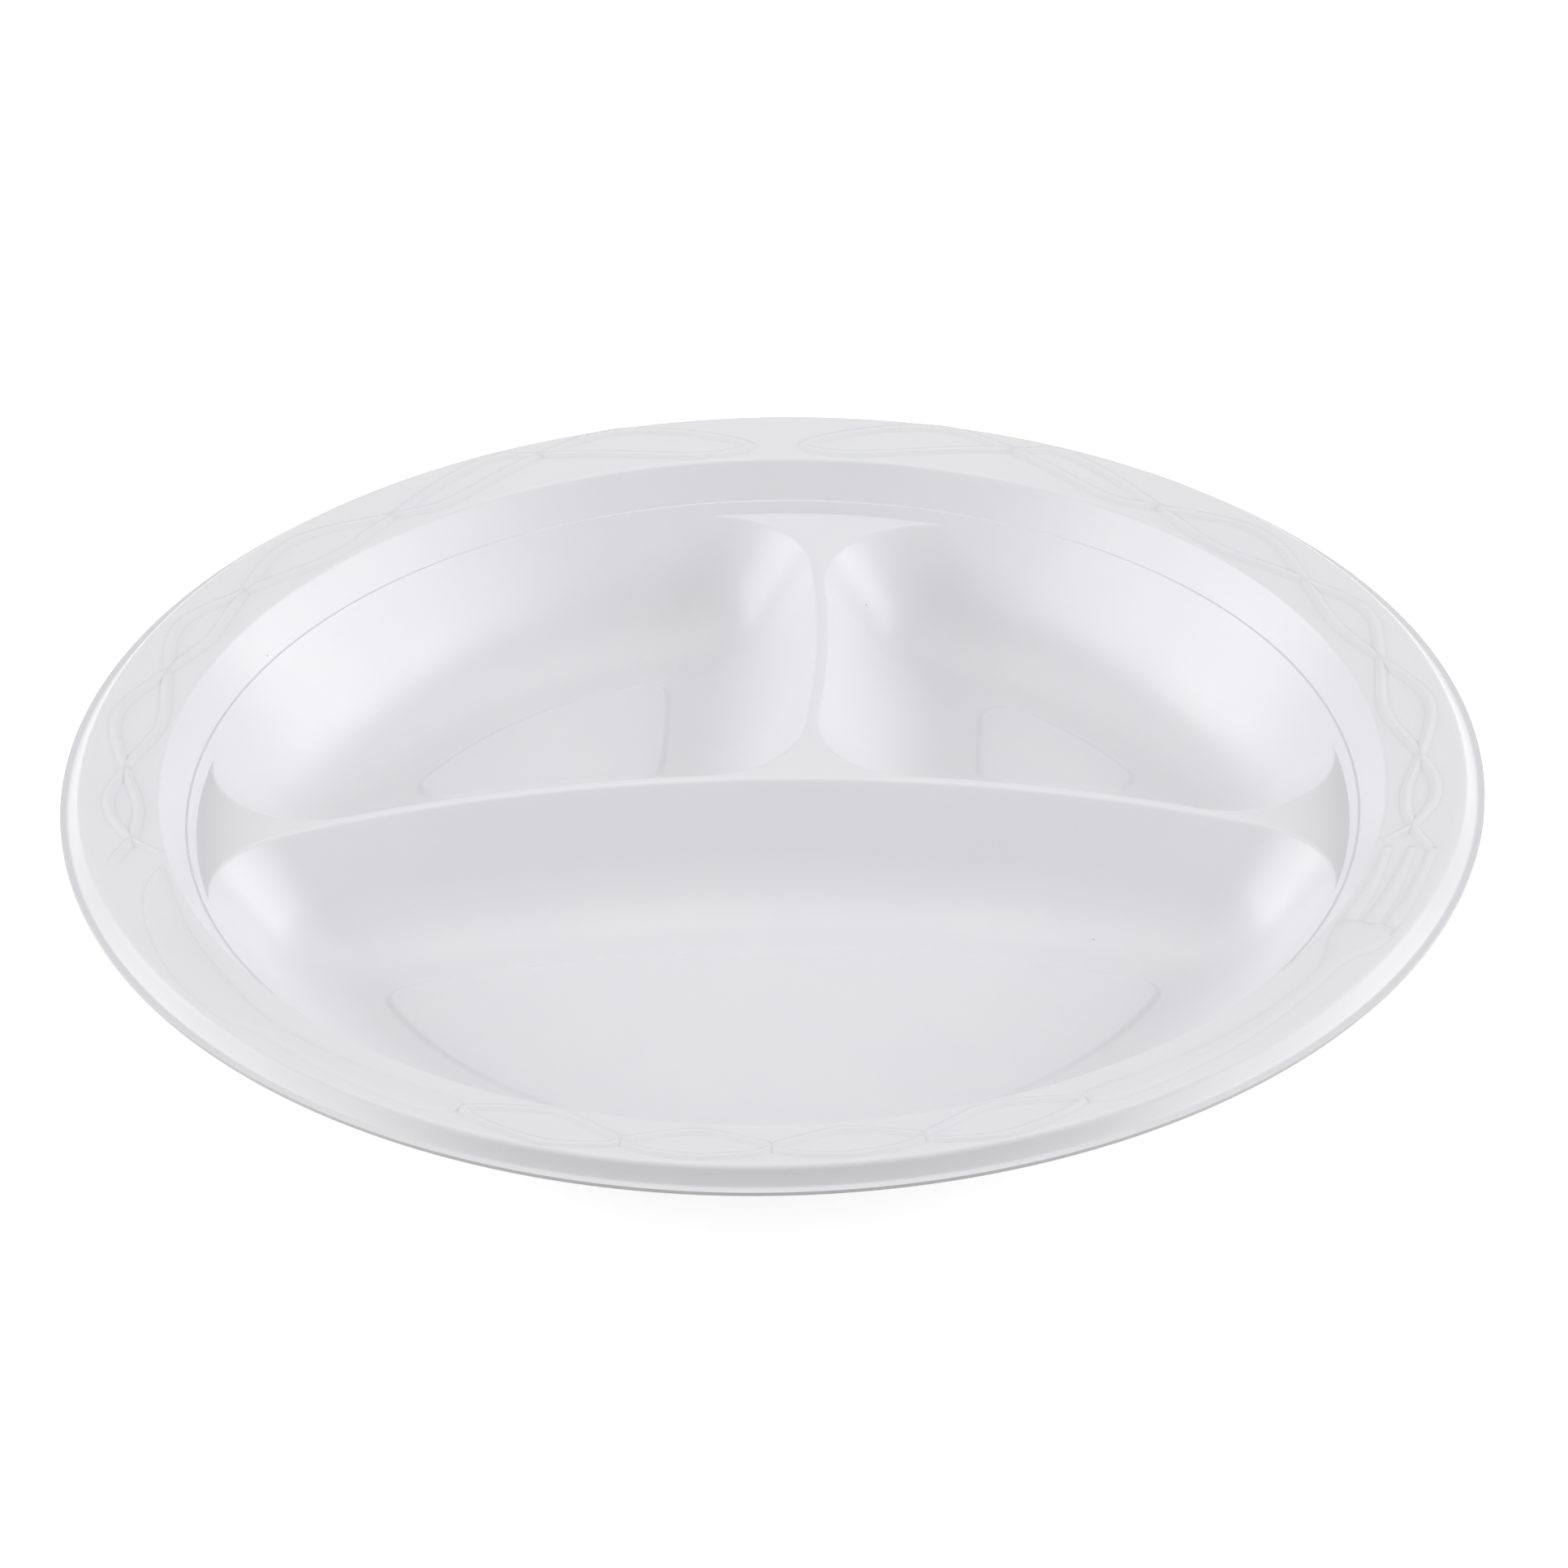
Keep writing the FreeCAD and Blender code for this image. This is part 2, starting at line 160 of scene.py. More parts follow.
class Circle:
    """A circle that bounds compartments, and half the width of the crest that stands on it."""

    def __init__(self, x, y, radius, half_crest):
        self.centre = Vector((x, y))
        self.radius = radius
        self.half_crest = half_crest

    def offset(self, inside, inset):
        """The radius at an inset into a compartment that lies inside or outside the circle."""
        sign = -1 if inside else 1
        return self.radius + sign * (self.half_crest + inset)


def deck_radius(sizes):
    """Radius of the deck, from the lip inwards."""
    return (sizes.lip_radius - sizes.lip_width - sizes.skirt_run - sizes.rim_width
            - sizes.step_run - sizes.ledge_width - sizes.kerb_run)


def deck_level(sizes):
    """Level of the deck, from the rim's peak down."""
    return sizes.rim_peak - sizes.rim_fall - sizes.step_drop - sizes.kerb_drop


def compartments(sizes):
    """Bounding circles of each compartment, anticlockwise.

    Each wall is a circle, whether the compartment lies inside it, whether it is the rim's, and a
    point near the corner where the wall ends.
    """
    deck = deck_radius(sizes)
    half = sizes.crest_width / 2
    rim = Circle(0, 0, deck, 0)
    cross = Circle(0, sizes.cross_crest - sizes.cross_radius, sizes.cross_radius, half)
    back = Circle(sizes.back_crest - sizes.back_radius, sizes.back_middle, sizes.back_radius, half)
    left_end = Vector((-deck, 0))
    right_end = Vector((deck, 0))
    back_end = Vector((sizes.back_crest, deck))
    junction = Vector((sizes.back_crest, sizes.cross_crest))
    return {
        "front": [(cross, True, False, left_end), (rim, True, True, right_end)],
        "back_left": [(rim, True, True, left_end), (cross, False, False, junction),
                      (back, True, False, back_end)],
        "back_right": [(rim, True, True, back_end), (back, False, False, junction),
                       (cross, False, False, right_end)],
    }


def corner_centre(walls, index, insets, corner):
    """Centre of the arc that rounds the corner where walls[index] ends."""
    circles = []
    for wall in (walls[index], walls[(index + 1) % len(walls)]):
        circle, inside, on_rim, _ = wall
        radius = circle.offset(inside, insets[on_rim])
        circles.append((circle.centre, radius + (-corner if inside else corner)))
    (first, reach_1), (second, reach_2) = circles
    line = second - first
    along = (line.length_squared + reach_1 ** 2 - reach_2 ** 2) / (2 * line.length)
    across = math.sqrt(reach_1 ** 2 - along ** 2)
    line.normalize()
    foot = first + line * along
    side = Vector((-line.y, line.x)) * across
    near = walls[index][3]
    return min((foot + side, foot - side), key=lambda point: (point - near).length)


def turn_between(start, end, forward):
    """The angle of start, and the turn from it to end, anticlockwise if forward."""
    first = math.atan2(start.y, start.x)
    turn = (math.atan2(end.y, end.x) - first) % (2 * math.pi)
    return first, turn if forward else turn - 2 * math.pi


def outline_arcs(walls, insets, corner):
    """The arcs of a rounded outline: centre, radius, first angle, turn, and whether on the rim."""
    centres = [corner_centre(walls, index, insets, corner) for index in range(len(walls))]
    arcs = []
    for index, (circle, inside, on_rim, _) in enumerate(walls):
        entry = centres[index - 1] - circle.centre
        leave = centres[index] - circle.centre
        radius = circle.offset(inside, insets[on_rim])
        arcs.append((circle.centre, radius, *turn_between(entry, leave, inside), on_rim))
        following, following_inside, _, _ = walls[(index + 1) % len(walls)]
        outward = leave if inside else -leave
        onward = centres[index] - following.centre
        outward_next = onward if following_inside else -onward
        arcs.append((centres[index], corner, *turn_between(outward, outward_next, True), False))
    return arcs


def outline_points(walls, insets, corner, counts):
    """Points along a rounded outline, with the given number of steps on each arc."""
    points = []
    for (centre, radius, first, turn, _), count in zip(outline_arcs(walls, insets, corner), counts):
        for step in range(count):
            direction = first + turn * step / count
            points.append(centre + radius * Vector((math.cos(direction), math.sin(direction))))
    return points


def corner_at(sizes, inset):
    """Corner radius of a compartment at an inset from the deck's edge."""
    return sizes.corner_top - (sizes.corner_top - sizes.corner_floor) * inset / wall_run(sizes)


def wall_run(sizes):
    """Width of a compartment's wall, seen from above, with its floor blend."""
    slope = sizes.wall_angle
    depth = deck_level(sizes) - floor_level(sizes)
    return depth / math.tan(slope) + sizes.floor_blend * math.tan(slope / 2)


def floor_level(sizes):
    """Level of a compartment's floor round its panel."""
    return sizes.sheet


MOUTH_STEPS = 6       # rings over a divider's rounded crest
STRAIGHT_STEPS = 5    # rings down the straight of a wall
BLEND_STEPS = 16      # rings round the floor's blend
PANEL_STEPS = 8       # rings up the soft step of a panel
CORNER_STEPS = 22     # edges round the corner of a compartment
PANEL_OUTER = 0.75    # share of a panel's soft step that lies outside its outline
PANEL_INNER = 2.6     # how far the last ring lies inside a panel, in millimetres
ARC_STEPS = 8         # fewest edges along a wall


def ring_sizes(sizes):
    """The rings of a compartment, from the deck down: divider inset, rim inset, level, corner."""
    slope = sizes.wall_angle
    top = deck_level(sizes)
    bottom = floor_level(sizes)
    rings = []
    for step in range(MOUTH_STEPS + 1):
        turn = slope * step / MOUTH_STEPS
        fall = sizes.crest_round * (1 - math.cos(turn))
        rim_inset = fall / math.tan(slope)
        crest_inset = sizes.crest_round * (math.sin(turn) - math.tan(slope / 2))
        rings.append((crest_inset, rim_inset, top - fall, corner_at(sizes, rim_inset)))
    mouth_fall = sizes.crest_round * (1 - math.cos(slope))
    straight_fall = top - bottom - sizes.floor_blend * (1 - math.cos(slope))
    for step in range(1, STRAIGHT_STEPS + 1):
        fall = mouth_fall + (straight_fall - mouth_fall) * step / STRAIGHT_STEPS
        inset = fall / math.tan(slope)
        rings.append((inset, inset, top - fall, corner_at(sizes, inset)))
    for step in range(1, BLEND_STEPS + 1):
        turn = slope * (1 - step / BLEND_STEPS)
        inset = wall_run(sizes) - sizes.floor_blend * math.sin(turn)
        level = bottom + sizes.floor_blend * (1 - math.cos(turn))
        rings.append((inset, inset, level, corner_at(sizes, inset)))
    divider_inset = wall_run(sizes) + sizes.panel_margin_divider
    rim_inset = wall_run(sizes) + sizes.panel_margin_rim
    for step in range(PANEL_STEPS + 1):
        share = step / PANEL_STEPS
        grow = sizes.panel_blend * (PANEL_OUTER - share)
        level = bottom + sizes.panel_step * (1 - math.cos(math.pi * share)) / 2
        rings.append((divider_inset - grow, rim_inset - grow, level, sizes.panel_corner + grow))
    inner = PANEL_INNER * MM
    rings.append((divider_inset + inner, rim_inset + inner, bottom + sizes.panel_step,
                  sizes.panel_corner - inner))
    return rings


# ---------------------------------------------------------------- the section of the rim

GUARD = 0.25 * MM             # from a rounded corner to the point that keeps its straight flat
ROUND_TURN = math.radians(8)  # largest turn of one edge round a corner of the section


def round_path(corners):
    """A path of points through corners, each given as radius from the axis, level and round.

    A corner with no round stays a point. Each straight keeps two points close to its ends, so
    that smooth shading stays flat between them.
    """
    path = []
    for index, (radius, level, bend) in enumerate(corners):
        point = Vector((radius, level))
        if index == 0 or index == len(corners) - 1:
            path.append(point)
            continue
        before = (Vector(corners[index - 1][:2]) - point).normalized()
        after = (Vector(corners[index + 1][:2]) - point).normalized()
        if not bend:
            path.append(point)
            continue
        opening = before.angle(after)
        tangent = bend / math.tan(opening / 2)
        middle = point + (before + after).normalized() * (bend / math.sin(opening / 2))
        start = point + before * tangent
        end = point + after * tangent
        first = start - middle
        turn = math.pi - opening
        sign = 1 if first.x * (end - middle).y - first.y * (end - middle).x > 0 else -1
        count = max(2, math.ceil(turn / ROUND_TURN))
        path.append(start + before * GUARD)
        for step in range(count + 1):
            path.append(middle + Matrix.Rotation(sign * turn * step / count, 2) @ first)
        path.append(end + after * GUARD)
    return path


def rim_section(sizes):
    """Section of the food side, from the deck's edge out to the lip."""
    radius = deck_radius(sizes)
    level = deck_level(sizes)
    corners = [(radius, level, 0)]
    for run, rise, bend in (
            (sizes.kerb_run, sizes.kerb_drop, 0),
            (sizes.ledge_width, 0, 0),
            (sizes.step_run, sizes.step_drop, sizes.step_round),
            (sizes.rim_width, sizes.rim_fall, sizes.rim_round),
            (sizes.skirt_run, -sizes.lip_drop, sizes.skirt_round),
            (sizes.lip_width, 0, 0)):
        radius += run
        level += rise
        corners.append((radius, level, bend))
    return round_path(corners)


# ---------------------------------------------------------------- mesh helpers

def draw_loop(bm, points, level):
    """A closed loop of vertices and edges through plan points at one level."""
    verts = bmesh.ops.create_circle(bm, segments=len(points), radius=1)["verts"]
    for vert, point in zip(verts, points):
        vert.co = Vector((point.x, point.y, level))
    bm.edges.ensure_lookup_table()
    return verts


def edges_of(verts):
    """The edges that join a closed row of vertices."""
    edges = []
    for index, vert in enumerate(verts):
        following = verts[(index + 1) % len(verts)]
        edges.append(next(edge for edge in vert.link_edges if edge.other_vert(vert) is following))
    return edges


def extend(bm, verts, points):
    """Extrude a closed row of vertices to new places, and return the new row in the same order."""
    result = bmesh.ops.extrude_edge_only(bm, edges=edges_of(verts))
    fresh = {item for item in result["geom"] if isinstance(item, bmesh.types.BMVert)}
    row = []
    for vert, point in zip(verts, points):
        partner = next(edge.other_vert(vert) for edge in vert.link_edges
                       if edge.other_vert(vert) in fresh)
        partner.co = point
        row.append(partner)
    return row


def mark_sharp(edges):
    """Keep the given edges crisp under smooth shading."""
    for edge in edges:
        edge.smooth = False


def add_object(name, bm, material):
    """A mesh object at the origin, smoothly shaded, from a bmesh."""
    mesh = bpy.data.meshes.new(name)
    for face in bm.faces:
        face.smooth = True
    bm.to_mesh(mesh)
    bm.free()
    mesh.materials.append(material)
    piece = bpy.data.objects.new(name, mesh)
    bpy.context.scene.collection.objects.link(piece)
    return piece


# ---------------------------------------------------------------- materials

def linear(code):
    """Linear RGBA of an sRGB hex colour."""
    channels = [int(code[start:start + 2], 16) / 255 for start in (1, 3, 5)]
    return (*(c / 12.92 if c <= 0.04045 else ((c + 0.055) / 1.055) ** 2.4 for c in channels), 1)


def add_node(tree, kind, settings=None, **links):
    """Add a node: settings sets its properties and inputs, and links joins inputs to sockets."""
    node = tree.nodes.new(kind)
    for key, entry in (settings or {}).items():
        if hasattr(node, key):
            setattr(node, key, entry)
        else:
            node.inputs[key].default_value = entry
    for key, socket in links.items():
        tree.links.new(socket, node.inputs[key.replace("_", " ")])
    return node


PLASTIC = "thermoformed_polystyrene_satin"


def thermoformed_polystyrene(finish):
    """Thermoformed high-impact polystyrene: an opaque, faintly milky white with a satin gloss.

    The sheet is stretched hot over a mould, which leaves a slow waviness, a fine matt grain from
    the mould's surface, and a few tiny specks of pigment.
    """
    material = bpy.data.materials.new(PLASTIC)
    material.use_nodes = True
    tree = material.node_tree
    tree.nodes.clear()
    place = add_node(tree, "ShaderNodeTexCoord").outputs["Object"]
    clouds = add_node(tree, "ShaderNodeTexNoise",
                      {"Scale": 1 / (18 * MM), "Detail": 3.0, "Roughness": 0.5}, Vector=place)
    # Grain of the mould's surface is about 0.1 mm; it is drawn at 0.5 mm so that it shows.
    grain = add_node(tree, "ShaderNodeTexNoise",
                     {"Scale": 1 / (0.5 * MM), "Detail": 2.0, "Roughness": 0.6}, Vector=place)
    wave = add_node(tree, "ShaderNodeTexNoise",
                    {"Scale": 1 / (7 * MM), "Detail": 1.0, "Roughness": 0.4}, Vector=place)
    cells = add_node(tree, "ShaderNodeTexVoronoi",
                     {"feature": "F1", "Scale": 1 / (16 * MM), "Randomness": 1.0}, Vector=place)
    speck = add_node(tree, "ShaderNodeMapRange",
                     {"From Min": 0.009, "From Max": 0.015, "To Min": 1.0, "To Max": 0.0},
                     Value=cells.outputs["Distance"])
    tone = add_node(tree, "ShaderNodeMix", {"data_type": "RGBA"})
    tone.inputs[6].default_value = linear(finish.plastic)
    tone.inputs[7].default_value = linear(finish.plastic_shade)
    tree.links.new(clouds.outputs["Fac"], tone.inputs[0])
    fleck = add_node(tree, "ShaderNodeMix", {"data_type": "RGBA"})
    fleck.inputs[7].default_value = linear("#B9BCC0")
    tree.links.new(speck.outputs["Result"], fleck.inputs[0])
    tree.links.new(tone.outputs[2], fleck.inputs[6])
    gloss = add_node(tree, "ShaderNodeMapRange",
                     {"From Min": 0.3, "From Max": 0.7, "To Min": finish.roughness,
                      "To Max": finish.roughness + 0.05}, Value=clouds.outputs["Fac"])
    waviness = add_node(tree, "ShaderNodeBump", {"Strength": 1.0, "Distance": 0.012 * MM},
                        Height=wave.outputs["Fac"])
    relief = add_node(tree, "ShaderNodeBump", {"Strength": 1.0, "Distance": 0.006 * MM},
                      Height=grain.outputs["Fac"], Normal=waviness.outputs["Normal"])
    shader = add_node(tree, "ShaderNodeBsdfPrincipled",
                      {"IOR": 1.59, "Subsurface Weight": 0.12, "Subsurface Scale": 1.0 * MM},
                      Base_Color=fleck.outputs[2], Roughness=gloss.outputs["Result"],
                      Normal=relief.outputs["Normal"])
    shader.inputs["Subsurface Radius"].default_value = (1.0, 1.0, 1.0)
    add_node(tree, "ShaderNodeOutputMaterial", Surface=shader.outputs["BSDF"])
    return material


def studio_paper(finish):
    """White seamless studio paper, lit from within like a light table, so that it stays white."""
    material = bpy.data.materials.new("studio_paper")
    material.use_nodes = True
    shader = material.node_tree.nodes["Principled BSDF"]
    shader.inputs["Base Color"].default_value = linear(finish.floor)
    shader.inputs["Roughness"].default_value = 1.0
    shader.inputs["Specular IOR Level"].default_value = 0.0
    shader.inputs["Emission Color"].default_value = linear(finish.floor)
    shader.inputs["Emission Strength"].default_value = 0.65
    return material


def plastic(finish):
    """The plate's plastic, made once."""
    return bpy.data.materials.get(PLASTIC) or thermoformed_polystyrene(finish)


# ---------------------------------------------------------------- the pressed sheet

def press_sheet(sizes):
    """The food side of the whole sheet, as a bmesh: compartments, deck, step, rim and skirt."""
    bm = bmesh.new()
    rings = ring_sizes(sizes)
    crest_inset, rim_inset, level, corner = rings[0]
    insets = {False: crest_inset, True: rim_inset}
    deck_edge = []
    deck_walls = []
    for walls in compartments(sizes).values():
        arcs = outline_arcs(walls, insets, corner)
        counts = [CORNER_STEPS if index % 2
                  else max(ARC_STEPS, round(abs(turn) * radius / sizes.spacing))
                  for index, (_, radius, _, turn, _) in enumerate(arcs)]
        row = draw_loop(bm, outline_points(walls, insets, corner, counts), level)
        edges = edges_of(row)
        start = 0
        for (_, _, _, _, on_rim), count in zip(arcs, counts):
            if on_rim:
                deck_edge += [row[(start + step) % len(row)] for step in range(count + 1)]
            else:
                deck_walls += edges[start:start + count]
            start += count
        for crest, rim, height, bend in rings[1:]:
            plan = outline_points(walls, {False: crest, True: rim}, bend, counts)
            row = extend(bm, row, [Vector((point.x, point.y, height)) for point in plan])
        bmesh.ops.contextual_create(bm, geom=edges_of(row))
    deck_edge = close_deck_edge(bm, deck_edge, sizes)
    flats = [edge for edge in edges_of(deck_edge) if not edge.link_faces]
    bmesh.ops.triangle_fill(bm, edges=deck_walls + flats, use_beauty=True, normal=(0, 0, 1))
    mark_sharp(flats)
    ledge = {round(radius, 6) for radius in ledge_radii(sizes)}
    row = deck_edge
    for point in rim_section(sizes)[1:]:
        spots = [Vector((*(vert.co.xy.normalized() * point.x), point.y)) for vert in deck_edge]
        row = extend(bm, row, spots)
        if round(point.x, 6) in ledge:
            mark_sharp(edges_of(row))
    bmesh.ops.recalc_face_normals(bm, faces=bm.faces)
    if sum(face.normal.z for face in bm.faces) < 0:
        bmesh.ops.reverse_faces(bm, faces=bm.faces)
    return bm


def ledge_radii(sizes):
    """Inner and outer radius of the fine ledge."""
    inner = deck_radius(sizes) + sizes.kerb_run
    return inner, inner + sizes.ledge_width


def close_deck_edge(bm, verts, sizes):
    """Join the compartments' rim arcs along the deck's circle into one closed row."""
    rows = sorted(verts, key=lambda vert: math.atan2(vert.co.y, vert.co.x) % (2 * math.pi))
    closed = []
    for index, vert in enumerate(rows):
        following = rows[(index + 1) % len(rows)]
        closed.append(vert)
        if any(edge.other_vert(vert) is following for edge in vert.link_edges):
            continue
        first, turn = turn_between(vert.co.xy, following.co.xy, True)
        count = max(1, round(turn * deck_radius(sizes) / sizes.spacing))
        last = vert
        for step in range(1, count):
            direction = first + turn * step / count
            spot = Vector((math.cos(direction), math.sin(direction))) * deck_radius(sizes)
            new = bmesh.ops.create_vert(bm, co=(spot.x, spot.y, vert.co.z))["vert"][0]
            bmesh.ops.contextual_create(bm, geom=[last, new])
            closed.append(new)
            last = new
        bmesh.ops.contextual_create(bm, geom=[last, following])
    return closed


class PLATE_OT_skin(bpy.types.Operator):
    """Build the plate's skin: rim, step, deck, dividers, compartments and panels in one sheet"""

    bl_idname = "plate.skin"
    bl_label = "Plate skin"

    def execute(self, context):
        sizes = context.scene.plate_skin
        piece = add_object("plate_skin", press_sheet(sizes), plastic(context.scene.plate_finish))
        wall = piece.modifiers.new("Sheet thickness", "SOLIDIFY")
        wall.thickness = sizes.sheet
        wall.offset = -1
        wall.use_even_offset = True
        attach(piece, "root")
        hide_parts("plate")
        return {"FINISHED"}


# ---------------------------------------------------------------- the rim's raised motif

# Places on the rim are an angle in degrees, anticlockwise from +X, and a radius in millimetres.
# The wave's strands cross at CROSSINGS. Between the crossings they swing out to SWELLS and in to
# HOLLOWS. They meet at WAVE_END, and their open ends are WAVE_TIPS.
CROSSINGS = [(-10.6, 103.4), (0.9, 104.2), (17.4, 104.1), (32.3, 104.4), (51.1, 103.0),
             (67.9, 107.0)]
SWELLS = [(-5.0, 106.5), (9.2, 107.9), (24.8, 108.0), (41.2, 108.0), (62.8, 109.1), (76.5, 109.6)]
HOLLOWS = [(-5.2, 101.7), (9.0, 100.5), (24.6, 101.9), (42.2, 100.4), (57.2, 101.5), (81.8, 100.6)]
WAVE_END = (87.2, 103.0)
WAVE_TIPS = [(-14.6, 107.9), (-13.2, 99.2)]

# The closed chain at the front: its two ends, where its strands cross, and how far the strands
# swing out and in between. CHAIN_CROSS says how steeply they cross: degrees along, millimetres out.
CHAIN_ENDS = [(244.2, 105.2), (296.8, 105.2)]
CHAIN_CROSSINGS = [(258.1, 105.9), (270.4, 105.7), (282.9, 105.8)]
CHAIN_SWELLS = [(251.2, 109.2), (264.2, 108.8), (276.6, 108.8), (289.9, 109.2)]
CHAIN_HOLLOWS = [(251.2, 100.3), (264.2, 101.2), (276.6, 101.2), (289.9, 100.3)]
CHAIN_CROSS = (1.3, 1.7)

# The knife and the fork are raised shapes between an inner and an outer edge.
KNIFE_INNER = [(244.0, 104.6), (243.2, 103.0), (240.5, 102.6), (234.0, 102.9), (225.0, 103.5),
               (221.5, 103.5), (216.0, 102.4), (207.0, 101.1), (200.0, 99.9), (194.9, 99.3)]
KNIFE_OUTER = [(244.0, 105.4), (243.4, 107.9), (241.0, 108.7), (234.0, 108.6), (225.0, 108.0),
               (222.6, 108.6), (219.5, 109.9), (210.0, 108.9), (200.0, 105.0), (194.9, 99.7)]
FORK_INNER = [(297.0, 104.6), (297.8, 103.2), (300.5, 102.7), (312.0, 103.4), (322.0, 103.5),
              (327.0, 102.3), (330.0, 100.2), (333.6, 99.6)]
FORK_OUTER = [(297.0, 105.6), (297.8, 107.7), (300.5, 108.4), (312.0, 107.7), (322.0, 106.5),
              (327.0, 106.5), (330.0, 109.0), (333.6, 109.4)]
# Each tine: its inner and outer edge at the head, then at its tip.
TINES = [((332.0, 106.3), (332.0, 109.5), (346.2, 106.7), (346.2, 108.6)),
         ((332.0, 102.7), (332.0, 106.3), (346.2, 103.4), (346.2, 105.3)),
         ((332.0, 99.3), (332.0, 102.7), (346.2, 99.6), (346.2, 101.5))]

BAND_STEPS = 10          # rows of faces across a raised band
SHAPE_STEPS = 110        # faces along the knife and the fork
TINE_STEPS = 40          # faces along a tine
LINE_STEP = 0.7 * MM     # length of a face along a raised line
EDGE_STEP = 0.2 * MM     # step of the fine line that an edge is sampled from
HEADROOM = 0.01 * MM     # from the highest raised line to the top of the CAD model
MERGE = 0.001 * MM       # vertices nearer than this become one
FAR = 1.0                # longer than any band


def polar(place):
    """A point on the plan, in metres, from an angle in degrees and a radius in millimetres."""
    turn = math.radians(place[0])
    return Vector((math.cos(turn), math.sin(turn))) * place[1] * MM


def smooth_line(places, step=LINE_STEP, closed=False):
    """Points along a smooth line through places on the rim, about a step apart.

    The line is a Catmull-Rom spline in angle and radius.
    """
    if closed:
        ends = [places[-1], *places, places[0], places[1]]
    else:
        ends = [places[0], *places, places[-1]]
    points = []
    for index in range(1, len(ends) - 2):
        knots = [Vector(place) for place in ends[index - 1:index + 3]]
        length = (polar(knots[2]) - polar(knots[1])).length
        count = max(2, round(length / step))
        for part in range(count):
            points.append(polar(catmull_rom(knots, part / count)))
    if not closed:
        points.append(polar(places[-1]))
    return points


def catmull_rom(knots, share):
    """The point at a share of the way from the second of four knots to the third."""
    before, start, end, after = knots
    pull_start = (end - before) / 2
    pull_end = (after - start) / 2
    square = share * share
    cube = square * share
    return ((2 * cube - 3 * square + 1) * start + (cube - 2 * square + share) * pull_start
            + (3 * square - 2 * cube) * end + (cube - square) * pull_end)


def sampled_edge(places, count):
    """The ends of a given number of equal steps along a smooth line through places."""
    fine = smooth_line(places, EDGE_STEP)
    lengths = [0.0]
    for first, second in zip(fine, fine[1:]):
        lengths.append(lengths[-1] + (second - first).length)
    points = []
    index = 0
    for part in range(count + 1):
        target = lengths[-1] * part / count
        while index < len(fine) - 2 and lengths[index + 1] < target:
            index += 1
        run = lengths[index + 1] - lengths[index]
        points.append(fine[index].lerp(fine[index + 1], (target - lengths[index]) / run))
    return points


def rim_height(sizes, radius):
    """Level of the rim's flank at a radius."""
    outer = sizes.lip_radius - sizes.lip_width - sizes.skirt_run
    return sizes.rim_peak - sizes.rim_fall * (outer - radius) / sizes.rim_width


def lay_band(bm, sizes, motif, left, right, height, edge, open_ends=True):
    """Lay a raised band between two rows of plan points, with soft edges of a given width.

    A band whose edge is None swells over its whole width, as a raised line does. Open ends taper
    off into the rim.
    """
    count = len(left) - 1
    grid = bmesh.ops.create_grid(bm, x_segments=count, y_segments=BAND_STEPS, size=0.5)["verts"]
    for vert in grid:
        column = round((vert.co.x + 0.5) * count)
        share = min(max(vert.co.y + 0.5, 0.0), 1.0)
        width = (right[column] - left[column]).length
        near_end = min((left[column] + right[column] - left[end] - right[end]).length / 2
                       for end in (0, count)) if open_ends else FAR
        if edge is None:
            lift = (1 - math.cos(2 * math.pi * share)) / 2 * soft_step(near_end / width)
        else:
            share = 0.5 - 0.5 * math.cos(math.pi * share)
            near_side = min(share, 1 - share) * width
            lift = soft_step(near_side / edge) * soft_step(near_end / edge)
        spot = left[column].lerp(right[column], share)
        level = rim_height(sizes, spot.length) + lift * height - motif.sink
        vert.co = Vector((spot.x, spot.y, min(level, TOP_LEVEL - HEADROOM)))


def soft_step(share):
    """A smooth rise from 0 to 1."""
    share = min(max(share, 0.0), 1.0)
    return share * share * (3 - 2 * share)


def lay_line(bm, sizes, motif, points, closed=False):
    """Lay a raised line along plan points."""
    half = motif.line_width / 2
    left = []
    right = []
    for index, point in enumerate(points):
        before = points[index - 1] if index or closed else point
        after = points[(index + 1) % len(points)] if index < len(points) - 1 or closed else point
        along = (after - before).normalized()
        side = Vector((-along.y, along.x)) * half
        left.append(point + side)
        right.append(point - side)
    if closed:
        left.append(left[0])
        right.append(right[0])
    lay_band(bm, sizes, motif, left, right, motif.line_height, None, not closed)


def mirror_places(places):
    """The same places on the other side of the plate's middle."""
    return [(180 - turn, radius) for turn, radius in places]


def wave_strands():
    """The strands of the interlaced wave on the right of the rim, from one tip to the other."""
    outward = [WAVE_TIPS[0]]
    back = [WAVE_TIPS[1]]
    for index, crossing in enumerate(CROSSINGS):
        outer_first = index % 2 == 0
        back += [crossing, SWELLS[index] if outer_first else HOLLOWS[index]]
        outward += [crossing, HOLLOWS[index] if outer_first else SWELLS[index]]
    return outward + [WAVE_END] + back[::-1]


def chain_strand():
    """The closed strand of the chain at the front of the rim."""
    outward = []
    back = []
    before, rise = CHAIN_CROSS
    for index, (swell, hollow) in enumerate(zip(CHAIN_SWELLS, CHAIN_HOLLOWS)):
        swings_in = index % 2
        outward.append(hollow if swings_in else swell)
        back.append(swell if swings_in else hollow)
        if index < len(CHAIN_CROSSINGS):
            turn, radius = CHAIN_CROSSINGS[index]
            slope = -rise if swings_in else rise
            for step in (-1, 0, 1):
                outward.append((turn + step * before, radius - step * slope))
                back.append((turn + step * before, radius + step * slope))
    return [CHAIN_ENDS[0], *outward, CHAIN_ENDS[1], *back[::-1]]


